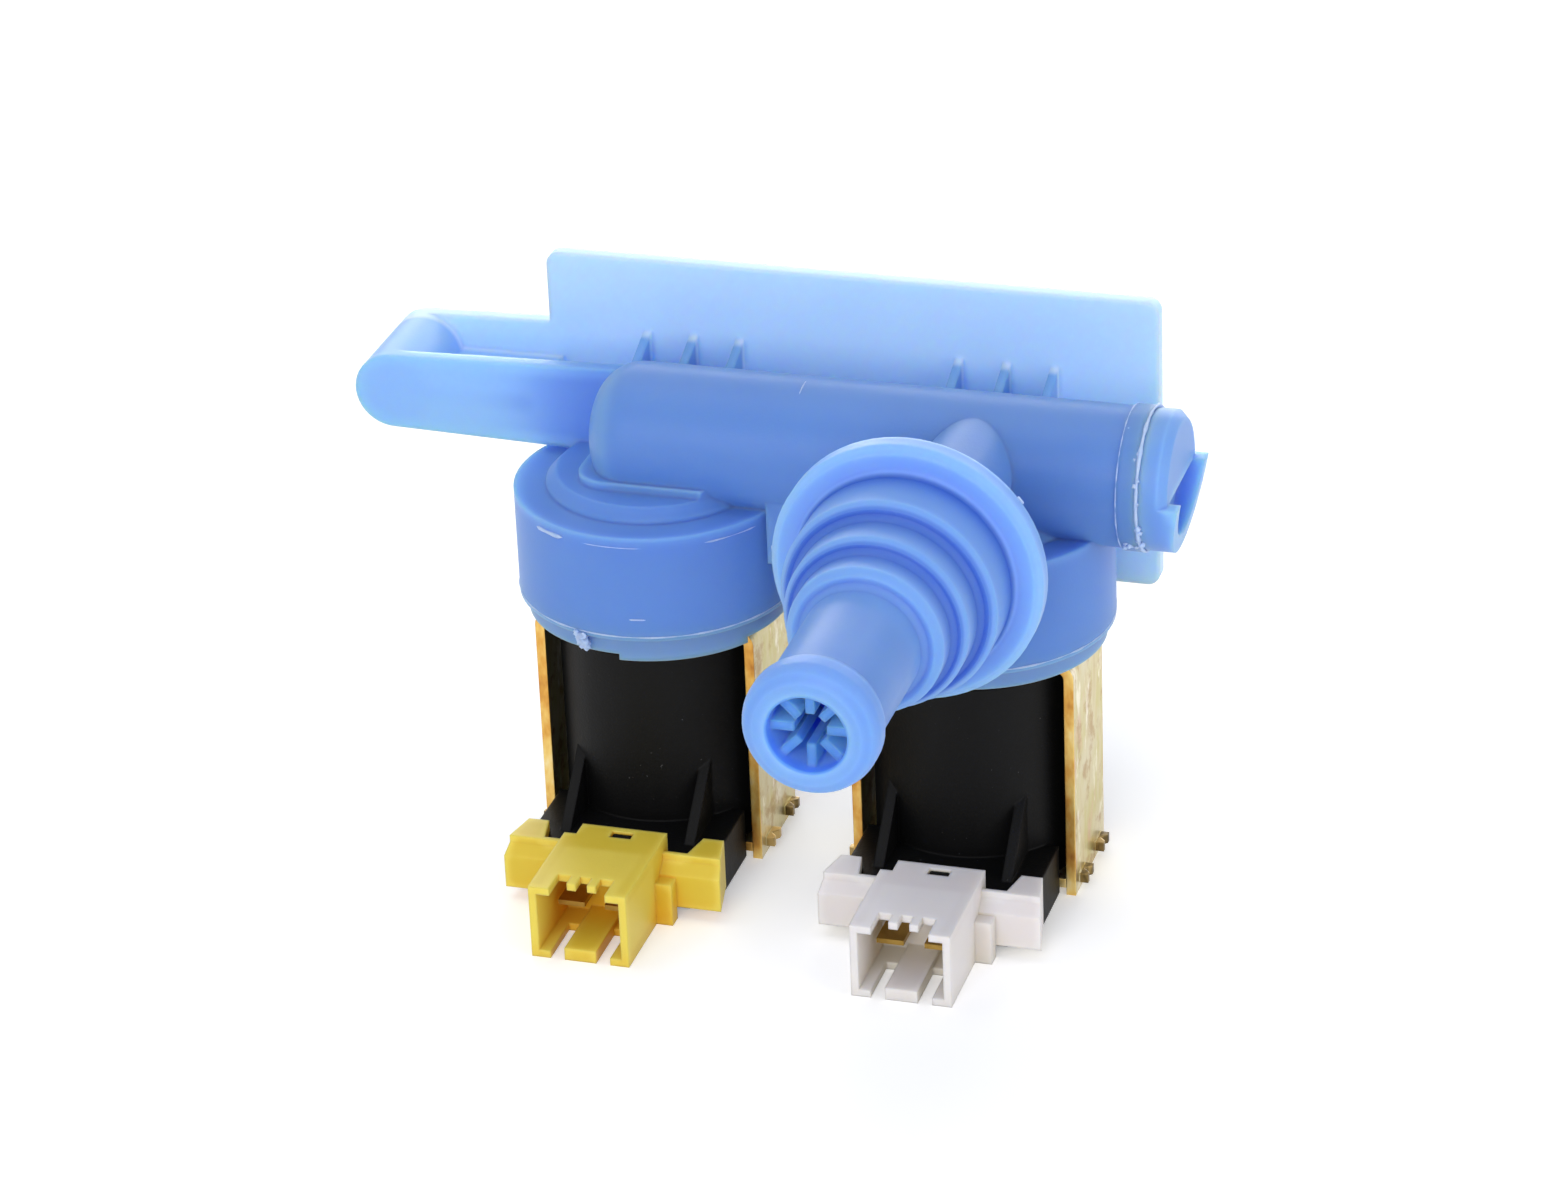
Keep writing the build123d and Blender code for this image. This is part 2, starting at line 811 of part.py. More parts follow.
coil_places = (-coil_spacing / 2, coil_spacing / 2)
sides = dict(zip(("left", "right"), coil_places))
side_pieces = {
    "bonnet": bonnet,
    "diaphragm": diaphragm,
    "diaphragm_insert": diaphragm_insert,
    "armature": armature,
    "armature_seal": armature_seal,
    "armature_spring": armature_spring,
    "yoke_frame": yoke_frame,
    "yoke_base": yoke_base,
    "coil_moulding": coil_moulding,
    "coil_winding": coil_winding,
    "terminal_blades": terminal_blades,
    "connector_shell": connector_shell,
    "flow_washer": flow_washer,
    "inlet_screen": inlet_screen,
}

os.makedirs("parts", exist_ok=True)
export_step(valve_body(), "parts/valve_body.step")
export_step(end_plug(), "parts/end_plug.step")
for side, place in sides.items():
    for name, make in side_pieces.items():
        export_step(make(place), f"parts/{side}_{name}.step")
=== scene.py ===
# A washing machine's water inlet valve, dressed for a studio picture. Lengths are in metres and
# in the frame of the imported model: +X right, +Y back through the cabinet wall, +Z up.
import json
import math
import random

import bmesh
import bpy
from mathutils import Matrix, Vector


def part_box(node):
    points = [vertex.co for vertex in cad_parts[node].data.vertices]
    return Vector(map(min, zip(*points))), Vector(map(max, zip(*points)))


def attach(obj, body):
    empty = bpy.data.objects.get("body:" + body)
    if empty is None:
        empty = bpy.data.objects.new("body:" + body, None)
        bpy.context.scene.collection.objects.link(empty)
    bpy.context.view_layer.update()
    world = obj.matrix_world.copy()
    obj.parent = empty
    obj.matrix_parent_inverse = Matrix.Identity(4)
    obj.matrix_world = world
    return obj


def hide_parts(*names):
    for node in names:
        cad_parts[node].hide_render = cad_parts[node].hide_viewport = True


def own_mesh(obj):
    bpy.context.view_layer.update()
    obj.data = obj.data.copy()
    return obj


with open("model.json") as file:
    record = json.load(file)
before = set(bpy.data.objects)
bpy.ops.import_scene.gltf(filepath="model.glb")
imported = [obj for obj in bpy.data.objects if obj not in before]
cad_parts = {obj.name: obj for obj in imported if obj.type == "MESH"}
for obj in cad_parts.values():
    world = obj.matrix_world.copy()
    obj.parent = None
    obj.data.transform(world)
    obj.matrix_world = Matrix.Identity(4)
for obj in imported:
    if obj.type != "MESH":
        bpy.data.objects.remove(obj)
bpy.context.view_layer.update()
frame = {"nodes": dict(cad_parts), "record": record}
nodes = frame["nodes"]


# Valve body, end plug and bonnets
# Injection-moulded polypropylene in a milky light blue, with a soft gloss and faint flow marks from the
# mould.
# Light coming through thin walls is painted into the colour: the plate, the arm, the nozzle, the plug
# and the edges are tinted paler, and the bore is painted lighter. Painted shade darkens the nozzle's
# grooves.
class Wire:
    """A socket in a material's node tree. Sums and products of wires add Math nodes."""

    def __init__(self, tree, socket=None):
        self.tree = tree
        self.socket = socket

    def node(self, kind, settings=None, sockets=None, out=0):
        """Adds a node, its settings first and then the values or links of its sockets."""
        made = self.tree.nodes.new(kind)
        for name, value in (settings or {}).items():
            if name == "stops":
                self.set_stops(made.color_ramp.elements, value)
            else:
                setattr(made, name, value)
        for key, value in (sockets or {}).items():
            if isinstance(value, Wire):
                self.tree.links.new(value.socket, made.inputs[key])
            else:
                made.inputs[key].default_value = value
        return Wire(self.tree, made.outputs[out]) if len(made.outputs) else None

    def set_stops(self, elements, stops):
        while len(elements) < len(stops):
            elements.new(1)
        for element, (position, colour) in zip(elements, stops):
            element.position = position
            element.color = colour

    def math(self, operation, *values):
        return self.node("ShaderNodeMath", {"operation": operation}, dict(enumerate(values)))

    def __add__(self, other):
        return self.math("ADD", self, other)

    def __radd__(self, other):
        return self.math("ADD", other, self)

    def __sub__(self, other):
        return self.math("SUBTRACT", self, other)

    def __rsub__(self, other):
        return self.math("SUBTRACT", other, self)

    def __mul__(self, other):
        return self.math("MULTIPLY", self, other)

    def __rmul__(self, other):
        return self.math("MULTIPLY", other, self)

    def __abs__(self):
        return self.math("ABSOLUTE", self)

    def at_most(self, limit):
        return self.math("MINIMUM", self, limit)

    def between(self, low, high):
        """0 below low, 1 above high and a smooth step in between."""
        settings = {"interpolation_type": "SMOOTHSTEP"}
        return self.node("ShaderNodeMapRange", settings, {0: self, 1: low, 2: high})

    def mix(self, first, second):
        """Colour that goes from first to second as this value goes from 0 to 1."""
        settings = {"data_type": "RGBA"}
        return self.node("ShaderNodeMix", settings, {0: self, 6: first, 7: second}, 2)


def rgb(red, green, blue):
    """Linear colour from the red, green and blue that a picture shows, 0 to 255."""
    def linear(part):
        part /= 255
        return part / 12.92 if part <= 0.04045 else ((part + 0.055) / 1.055) ** 2.4
    return (linear(red), linear(green), linear(blue), 1)


def new_finish(name, **constants):
    """A material with one Principled shader, whose even values are set on its own sockets."""
    finish = bpy.data.materials.new(name)
    finish.use_nodes = True
    tree = finish.node_tree
    shader = tree.nodes["Principled BSDF"]
    for socket, value in constants.items():
        shader.inputs[socket.replace("_", " ")].default_value = value
    place = Wire(tree).node("ShaderNodeTexCoord", out="Object")
    return finish, shader, place


def feed(shader, **wires):
    """Links what varies over the surface to the shader's sockets."""
    for socket, wire in wires.items():
        wire.tree.links.new(wire.socket, shader.inputs[socket.replace("_", " ")])


def noise(place, scale, detail=2.0, roughness=0.5, stretch=None):
    """Soft clouds of 0 to 1 about a point in the object's own space."""
    if stretch:
        place = place.node("ShaderNodeMapping", None, {"Vector": place, "Scale": stretch})
    sockets = {"Vector": place, "Scale": scale, "Detail": detail, "Roughness": roughness}
    return place.node("ShaderNodeTexNoise", None, sockets)


def bump(height, strength, distance, rounding):
    """Surface relief over edges that look rounded by a small radius."""
    edges = height.node("ShaderNodeBevel", {"samples": 6}, {"Radius": rounding})
    sockets = {"Height": height, "Strength": strength, "Distance": distance, "Normal": edges}
    return height.node("ShaderNodeBump", None, sockets)


def spread(place):
    """The x, y and z of a point as three wires."""
    split = place.node("ShaderNodeSeparateXYZ", None, {"Vector": place})
    return [Wire(place.tree, out) for out in split.socket.node.outputs]


def dress(node, finish):
    """Gives a CAD node its finish and smooth shading across its soft edges."""
    piece = nodes[node]
    if not piece.material_slots:
        piece.data.materials.append(finish)
    for material_slot in piece.material_slots:
        material_slot.material = finish
    piece.data.shade_smooth()
    piece.data.set_sharp_from_angle(angle=math.radians(32))


def openness(place, distance, inside=False):
    """1 on an open surface and less in a groove or hollow, or the same as seen from the inside."""
    settings = {"samples": 6, "inside": inside}
    return place.node("ShaderNodeAmbientOcclusion", settings, {"Distance": distance}, "AO")


def thinness(place, distance):
    """Near 1 by an outer edge or in a thin wall, where light comes through the plastic."""
    return (1 - openness(place, distance, inside=True)).between(0.08, 0.6)


MM = 0.001
PLATE_FRONT = (-4.6 * MM, -3.2 * MM)
ARM_SPAN = (-58 * MM, -34 * MM)
PLUG_START = (52 * MM, 53.5 * MM)
COVER_TOP = (-20.6 * MM, -19.2 * MM)
NOZZLE_X = 27.1 * MM
NOZZLE_Z = 7.8 * MM
NOZZLE_START = (-68 * MM, -62 * MM)
NOZZLE_STEPS = ((-68.25 * MM, 9.5 * MM), (-77.75 * MM, 6.5 * MM), (-84.25 * MM, 5.5 * MM))
FLANGE_FACE = (-69.0 * MM, -68.4 * MM)
TUBE_START = (-98 * MM, -90 * MM)
HOSE_GRIP_END = (-111.5 * MM, -110 * MM)
BORE_RADIUS_SQUARED = (33e-6, 37e-6)


def milky_blue():
    """Regions of the moulding fade into each other between the two values of their pair above."""
    finish, shader, place = new_finish(
        "milky_blue_plastic",
        IOR=1.49,
        Subsurface_Weight=0.8,
        Subsurface_Radius=(0.3, 0.6, 1.4),
        Subsurface_Scale=0.006,
        Specular_IOR_Level=0.24,
    )
    x, y, z = spread(place)
    plate = y.between(*PLATE_FRONT)
    arm = 1 - x.between(*ARM_SPAN)
    nozzle = 1 - y.between(*NOZZLE_START)
    tube = 1 - y.between(*TUBE_START)
    plug = x.between(*PLUG_START)
    cover = 1 - z.between(*COVER_TOP)
    flange_face = y.between(*FLANGE_FACE)
    # Painted light: edges and thin walls are tinted paler, as light through the plastic would make
    # them.
    rim = thinness(place, 2.6 * MM) * (0.45 + 0.25 * nozzle)
    hose_grip = tube * y.between(*HOSE_GRIP_END)
    # Painted light: the arm, the nozzle, the flange's face, the plug and the edges get a paler tint,
    # and the hose grip gets less of it.
    lit = 0.8 * arm + 0.35 * nozzle + 0.3 * nozzle * flange_face + 0.35 * plug + rim - 0.2 * hose_grip
    open_air = openness(place, 4.4 * MM)
    # Painted shade: darker in the nozzle's grooves, where little of the surroundings is open to them,
    # and at the root of each step.
    groove = 0.45 * (1 - open_air.between(0.5, 0.97)) * nozzle * (1 - tube)
    for start, length in NOZZLE_STEPS:
        past = 1 - y.between(start + 0.1 * MM, start + 0.6 * MM)
        groove = groove + 0.55 * y.between(start - 0.75 * length, start) * past
    groove = groove * (1 - 0.8 * flange_face)
    clouds = noise(place, scale=38, detail=3, roughness=0.55)
    flow = noise(place, scale=120, detail=2, roughness=0.5, stretch=(1, 1, 0.25))
    deep = clouds.mix(rgb(90, 134, 209), rgb(104, 147, 219))
    painted_light_blue = clouds.mix(rgb(138, 186, 255), rgb(154, 199, 255))
    # Painted light: the thin plate is paler, as light through it from behind would make it.
    pale = clouds.mix(rgb(186, 214, 255), rgb(200, 224, 255))
    moulded = lit.between(0, 1).mix(deep, painted_light_blue)
    groove_shaded = groove.at_most(1).mix(moulded, rgb(36, 86, 196))
    covered = (0.5 * cover).mix(groove_shaded, rgb(122, 150, 190))
    aside = x - NOZZLE_X
    above = z - NOZZLE_Z
    bore = (1 - (aside * aside + above * above).between(*BORE_RADIUS_SQUARED)) * tube
    # Painted light: the nozzle's bore is paler, more where it is open, as light through the tube's wall
    # would make it.
    painted_bore_light = open_air.between(0.1, 0.6).mix(rgb(146, 202, 255), rgb(96, 152, 255))
    colour = bore.mix(plate.mix(covered, pale), painted_bore_light)
    grain = noise(place, scale=2600, detail=2, roughness=0.6)
    feed(
        shader,
        Base_Color=colour,
        Roughness=0.36 + 0.1 * flow,
        Normal=bump(grain * 0.4 + flow, strength=0.12, distance=0.0004, rounding=1.1 * MM),
    )
    return finish


blue_finish = milky_blue()
for node in ("valve_body", "end_plug", "left_bonnet", "right_bonnet"):
    dress(node, blue_finish)


# Hose threads
# Each inlet stub carries a rounded 3/4 inch pipe thread, moulded in one with the body. It runs
# out at both ends, so the ridge rises from the stub and sinks back into it.
SIDES = {"left": -25 * MM, "right": 25 * MM}
STUB_RADIUS = 12.3 * MM
STUB_Z = -9.5 * MM
THREAD_PITCH = 1.814 * MM
THREAD_RISE = 0.92 * MM
THREAD_SPAN = (3.2 * MM, 18.6 * MM)
THREAD_RUN_OUT = 0.6
THREAD_SINK = 0.05 * MM
THREAD_STEPS = 72
THREAD_SHAPE = ((-0.46, -0.12), (-0.3, 0.45), (-0.1, 0.95), (0.1, 0.95), (0.3, 0.45), (0.46, -0.12))


def bridge(mesh, rings):
    """Joins each ring of points to the next with a band of faces."""
    for first, second in zip(rings, rings[1:]):
        for a in range(len(first)):
            b = (a + 1) % len(first)
            mesh.faces.new((first[a], first[b], second[b], second[a]))


def finished_mesh(name, mesh, finish, smooth_angle=40):
    """Turns a bmesh into a piece with a finish, its faces turned outwards and shaded smooth."""
    bmesh.ops.recalc_face_normals(mesh, faces=mesh.faces)
    data = bpy.data.meshes.new(name)
    mesh.to_mesh(data)
    mesh.free()
    data.materials.append(finish)
    data.shade_smooth()
    data.set_sharp_from_angle(angle=math.radians(smooth_angle))
    piece = bpy.data.objects.new(name, data)
    bpy.context.scene.collection.objects.link(piece)
    return piece


def hose_thread(name, x):
    """A helical ridge on the stub at x, whose height runs out at both ends."""
    mesh = bmesh.new()
    start, end = THREAD_SPAN
    turns = (end - start) / THREAD_PITCH
    count = int(turns * THREAD_STEPS)
    rings = []
    for step in range(count + 1):
        share = step / count
        rise = min(1, share * turns / THREAD_RUN_OUT, (1 - share) * turns / THREAD_RUN_OUT)
        angle = 2 * math.pi * share * turns
        ring = []
        for along, out in THREAD_SHAPE:
            lift = THREAD_RISE * (out if out < 0 else out * rise)
            reach = STUB_RADIUS + lift - THREAD_SINK
            y = start + share * (end - start) + along * THREAD_PITCH
            z = STUB_Z + reach * math.sin(angle)
            ring.append(mesh.verts.new((x + reach * math.cos(angle), y, z)))
        rings.append(ring)
    bridge(mesh, rings)
    mesh.faces.new(rings[0])
    mesh.faces.new(rings[-1][::-1])
    return finished_mesh(name, mesh, blue_finish)


for side, x in SIDES.items():
    thread = hose_thread(f"{side}_hose_thread", x)
    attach(thread, "valve")


# Weld flash and parting lines
# The bonnets and the end plug are spin-welded to the body, which squeezes out a thin, ragged,
# nearly white bead. Fine flash also stands along the rims where the mould halves met.
COIL_Y = -24.5 * MM
CHAMBER_RADIUS = 21.5 * MM
PARTING_Z = -4.0 * MM
SCRATCH_Z = -15.9 * MM
WELD_Z = -18.9 * MM
DRIP_Z = -19.7 * MM
MANIFOLD_RADIUS = 10.6 * MM
MANIFOLD_Z = 5.3 * MM
SCUFF_X = -0.3 * MM
COLLAR_RADIUS = 10.95 * MM
COLLAR_X = 49.7 * MM
PLUG_SEAM_X = 52.75 * MM
FLANGE_RADIUS = 19.9 * MM
BEAD_STEPS = 120
BEAD_CORNERS = 6


def pale_flash():
    finish, shader, place = new_finish(
        "pale_flash",
        IOR=1.49,
        Subsurface_Weight=0.3,
        Subsurface_Radius=(0.6, 0.8, 1.0),
        Subsurface_Scale=0.003,
    )
    clouds = noise(place, scale=900, detail=3)
    feed(
        shader,
        Base_Color=clouds.mix(rgb(132, 172, 238), rgb(206, 226, 255)),
        Roughness=0.4 + 0.2 * clouds,
    )
    return finish


flash_finish = pale_flash()


def ragged_bead(name, at, size, seed, start=0.0, end=360.0, least=0.35):
    """Bead of uneven thickness along points that at(angle) gives, from start to end degrees."""
    dice = random.Random(seed)
    closed = end - start >= 360
    count = max(8, int(BEAD_STEPS * (end - start) / 360))
    waves = [(dice.uniform(0, 6.28), dice.randint(3, 40), dice.uniform(0.2, 1)) for _ in range(9)]
    mesh = bmesh.new()
    rings = []
    for step in range(count if closed else count + 1):
        share = step / count
        angle = math.radians(start + share * (end - start))
        wave = sum(high * math.sin(angle * rate + phase) for phase, rate, high in waves) / 3
        thick = size * max(least, 1 + 0.55 * wave)
        if not closed:
            thick *= max(0.05, min(1, 12 * share, 12 * (1 - share)))
        centre, outward, across = at(angle)
        ring = []
        for corner in range(BEAD_CORNERS):
            turn = 2 * math.pi * corner / BEAD_CORNERS
            reach = math.cos(turn) * outward + math.sin(turn) * across
            ring.append(mesh.verts.new(centre + thick * reach))
        rings.append(ring)
    if closed:
        bridge(mesh, rings + rings[:1])
    else:
        bridge(mesh, rings)
        mesh.faces.new(rings[0])
        mesh.faces.new(rings[-1][::-1])
    piece = finished_mesh(name, mesh, flash_finish, 60)
    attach(piece, "valve")


def round_z(x, radius, z):
    """Points on a level circle about a coil's axis, for a bead round a chamber."""
    def at(angle):
        outward = Vector((math.cos(angle), math.sin(angle), 0))
        return Vector((x, COIL_Y, z)) + radius * outward, outward, Vector((0, 0, 1))
    return at


def round_x(x, radius, z):
    """Points on an upright circle about the manifold's axis, for a bead round its end."""
    def at(angle):
        outward = Vector((0, math.cos(angle), math.sin(angle)))
        return Vector((x, COIL_Y, z)) + radius * outward, outward, Vector((1, 0, 0))
    return at


def round_y(radius, y):
    """Points on an upright circle about the nozzle's axis, for a tick on its flange."""
    def at(angle):
        outward = Vector((math.cos(angle), 0, math.sin(angle)))
        return Vector((NOZZLE_X, y, NOZZLE_Z)) + radius * outward, outward, Vector((0, 1, 0))
    return at


def crumbs(name, at, spots, seed):
    """Torn bits of plastic on a round surface, as degrees, slide along it and size, both in mm."""
    dice = random.Random(seed)
    mesh = bmesh.new()
    for angle, slide, size in spots:
        centre, _, across = at(math.radians(angle))
        lump = bmesh.ops.create_icosphere(mesh, subdivisions=2, radius=size * MM)["verts"]
        for vert in lump:
            vert.co *= dice.uniform(0.55, 1.3)
        bmesh.ops.translate(mesh, verts=lump, vec=centre + slide * MM * across)
    piece = finished_mesh(name, mesh, flash_finish, 60)
    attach(piece, "valve")


for index, (side, x) in enumerate(SIDES.items()):
    weld = round_z(x, CHAMBER_RADIUS - 0.05 * MM, WELD_Z)
    ragged_bead(f"{side}_weld_bead", weld, size=0.13 * MM, seed=21 + index, least=0.05)
left_rim = round_z(SIDES["left"], CHAMBER_RADIUS - 0.03 * MM, PARTING_Z)
ragged_bead("left_rim_curl", left_rim, size=0.3 * MM, seed=11, start=-128, end=-112)
ragged_bead("left_rim_trace", left_rim, size=0.07 * MM, seed=12, start=-103, end=-77, least=0.05)
ragged_bead("left_rim_flash", left_rim, size=0.13 * MM, seed=13, start=-52, end=-27)
crumbs(
    "left_weld_drip",
    round_z(SIDES["left"], CHAMBER_RADIUS - 0.1 * MM, DRIP_Z),
    [
        (-107.6, 0.2, 0.6),
        (-106.2, -0.2, 0.85),
        (-104.6, -0.1, 0.8),
        (-105.6, -1.0, 0.9),
        (-104.0, -1.1, 0.9),
        (-103.0, -1.7, 0.65),
        (-105.0, -1.8, 0.6),
    ],
    seed=14,
)
scratch = round_z(SIDES["left"], CHAMBER_RADIUS - 0.02 * MM, SCRATCH_Z)
ragged_bead("left_chamber_scratch", scratch, size=0.1 * MM, seed=15, start=-84, end=-77)
scuff = round_x(SCUFF_X, MANIFOLD_RADIUS - 0.02 * MM, MANIFOLD_Z)
ragged_bead("manifold_scuff", scuff, size=0.11 * MM, seed=16, start=88, end=109)
collar = round_x(COLLAR_X, COLLAR_RADIUS - 0.06 * MM, MANIFOLD_Z)
ragged_bead("collar_bead", collar, size=0.09 * MM, seed=31, least=0.1)
plug_seam = round_x(PLUG_SEAM_X, COLLAR_RADIUS - 0.12 * MM, MANIFOLD_Z)
ragged_bead("plug_bead", plug_seam, size=0.27 * MM, seed=32, least=0.2)
crumbs(
    "plug_crumbs",
    plug_seam,
    [
        (136, -0.35, 0.3),
        (141, -0.7, 0.28),
        (157, 0.1, 0.32),
        (161, -0.3, 0.42),
        (176, 0.2, 0.26),
        (198, 0.1, 0.5),
        (203, 0.35, 0.46),
        (213, 0.0, 0.42),
        (220, 0.3, 0.48),
        (224, -0.7, 0.45),
        (222, -1.5, 0.5),
        (226, -2.3, 0.42),
        (219, -2.1, 0.35),
        (114, -2.5, 0.14),
    ],
    seed=33,
)
left_tick = round_y(FLANGE_RADIUS, -66.5 * MM)
ragged_bead("flange_left_tick", left_tick, size=0.4 * MM, seed=34, start=174, end=183)
right_tick = round_y(FLANGE_RADIUS, -64.3 * MM)
ragged_bead("flange_right_tick", right_tick, size=0.3 * MM, seed=35, start=34, end=38)


# Diaphragms, seals and flow washers
# Black moulded rubber with a dull bloom. The diaphragm's rim is clamped between the chamber and
# the bonnet, and it flattens as its core drops to let the water through.
def dull_rubber():
    finish, shader, place = new_finish("dull_rubber", Specular_IOR_Level=0.3)
    clouds = noise(place, scale=300, detail=4)
    feed(
        shader,
        Base_Color=clouds.mix(rgb(24, 24, 25), rgb(42, 42, 43)),
        Roughness=0.6 + 0.2 * clouds,
        Normal=bump(noise(place, scale=4000), strength=0.2, distance=0.0002, rounding=0.2 * MM),
    )
    return finish


rubber_finish = dull_rubber()
travels = {joint["name"]: joint["range_m"][1] for joint in frame["record"]["behaviour"]["joints"]}


def flexing_piece(name, node, joint):
    """A copy of a CAD node's mesh as a piece in the node's place. How much of its height the joint's
    travel would leave is worked out, but the mesh is not flattened.
    """
    low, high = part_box(node)
    piece = bpy.data.objects.new(name, nodes[node].data.copy())
    bpy.context.scene.collection.objects.link(piece)
    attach(piece, "valve")
    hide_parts(node)
    keep = 1 - travels[joint] / (high[2] - low[2])
    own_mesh(piece)


for side in SIDES:
    for name in ("diaphragm", "armature_seal", "flow_washer"):
        dress(f"{side}_{name}", rubber_finish)
    flexing_piece(
        f"{side}_flexing_diaphragm", f"{side}_diaphragm", f"{side}_diaphragm_lift"
    )


# Diaphragm cores and inlet strainers
# Off-white acetal. The core carries the pilot hole, and the strainer is a fine moulded mesh on a
# ring, pushed into the inlet to keep grit out.
def off_white_acetal():
    finish, shader, place = new_finish(
        "off_white_acetal", Subsurface_Weight=0.2, Subsurface_Scale=0.002, Specular_IOR_Level=0.45
    )
    clouds = noise(place, scale=200, detail=3)
    feed(
        shader,
        Base_Color=clouds.mix(rgb(214, 213, 205), rgb(232, 231, 225)),
        Roughness=0.4 + 0.12 * clouds,
    )
    return finish


acetal_finish = off_white_acetal()
STRAINER_WIRE = 0.32 * MM
STRAINER_RIM = 1.2 * MM
STRAINER_WALL = 1.5 * MM
STRAINER_LAP = 0.3 * MM
STRAINER_SPOKES = 36
STRAINER_ROWS = 8
STRAINER_HOOPS = (0.84, 0.68, 0.52, 0.36, 0.2)
STRAINER_HUB = 0.24


def strainer(side):
    """A ring with a cup of fine mesh on it, in the space of the plain CAD cup."""
    low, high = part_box(f"{side}_inlet_screen")
    x, z = (low[0] + high[0]) / 2, (low[2] + high[2]) / 2
    ring_radius = (high[0] - low[0]) / 2
    cup_radius = ring_radius - STRAINER_WALL
    mesh = bmesh.new()

    def hoop(radius, y):
        turns = [2 * math.pi * spoke / STRAINER_SPOKES for spoke in range(STRAINER_SPOKES)]
        return [mesh.verts.new((x + radius * math.cos(a), y, z + radius * math.sin(a))) for a in turns]

    top = high[1] - STRAINER_WIRE / 2
    foot = low[1] + STRAINER_RIM / 2
    height = top - low[1] - STRAINER_RIM / 2
    rows = [foot + row * height / STRAINER_ROWS for row in range(STRAINER_ROWS + 1)]
    cup = [hoop(cup_radius, y) for y in rows]
    cup += [hoop(cup_radius * share, top) for share in STRAINER_HOOPS]
    bridge(mesh, cup)
    bmesh.ops.wireframe(
        mesh,
        faces=mesh.faces[:],
        thickness=STRAINER_WIRE,
        use_boundary=True,
        use_even_offset=True,
        use_replace=True,
    )
    hub = hoop(cup_radius * STRAINER_HUB, top - STRAINER_WIRE / 2)
    cap = hoop(cup_radius * STRAINER_HUB, high[1])
    bridge(mesh, [hub, cap])
    mesh.faces.new(cap)
    mesh.faces.new(hub[::-1])
    inner = cup_radius - STRAINER_LAP
    rim_top = low[1] + STRAINER_RIM
    rim = [(inner, low[1]), (ring_radius, low[1]), (ring_radius, rim_top), (inner, rim_top)]
    hoops = [hoop(radius, y) for radius, y in rim]
    bridge(mesh, hoops + hoops[:1])
    piece = finished_mesh(f"{side}_strainer", mesh, acetal_finish, 40)
    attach(piece, "valve")
    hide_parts(f"{side}_inlet_screen")


for side in SIDES:
    dress(f"{side}_diaphragm_insert", acetal_finish)
    strainer(side)


# Armatures and their springs
# Bright turned stainless steel. The slug slides in the guide tube, and the spring pushes it up
# against the pilot hole.
def turned_steel():
    finish, shader, place = new_finish("turned_steel", Metallic=1.0)
    lines = noise(place, scale=500, detail=3, roughness=0.6, stretch=(1, 1, 9))
    feed(
        shader,
        Base_Color=lines.mix(rgb(170, 170, 168), rgb(206, 205, 202)),
        Roughness=0.22 + 0.2 * lines,
    )
    return finish


steel_finish = turned_steel()
for side in SIDES:
    dress(f"{side}_armature", steel_finish)
    dress(f"{side}_armature_spring", steel_finish)
    flexing_piece(
        f"{side}_flexing_spring", f"{side}_armature_spring", f"{side}_armature_slide"
    )


# Yokes
# Mild steel strip, bent to a U and staked to its base plate, then zinc plated and passivated. The
# film is yellow with green and pink tints, and it turns orange along the sheared edges.
frame_low, frame_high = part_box("left_yoke_frame")
YOKE_HALF_WIDTH = (frame_high[0] - frame_low[0]) / 2
SHEARED_EDGE = (8.75 * MM, 8.95 * MM)
STAKED_END = (YOKE_HALF_WIDTH + 0.05 * MM, YOKE_HALF_WIDTH + 0.2 * MM)


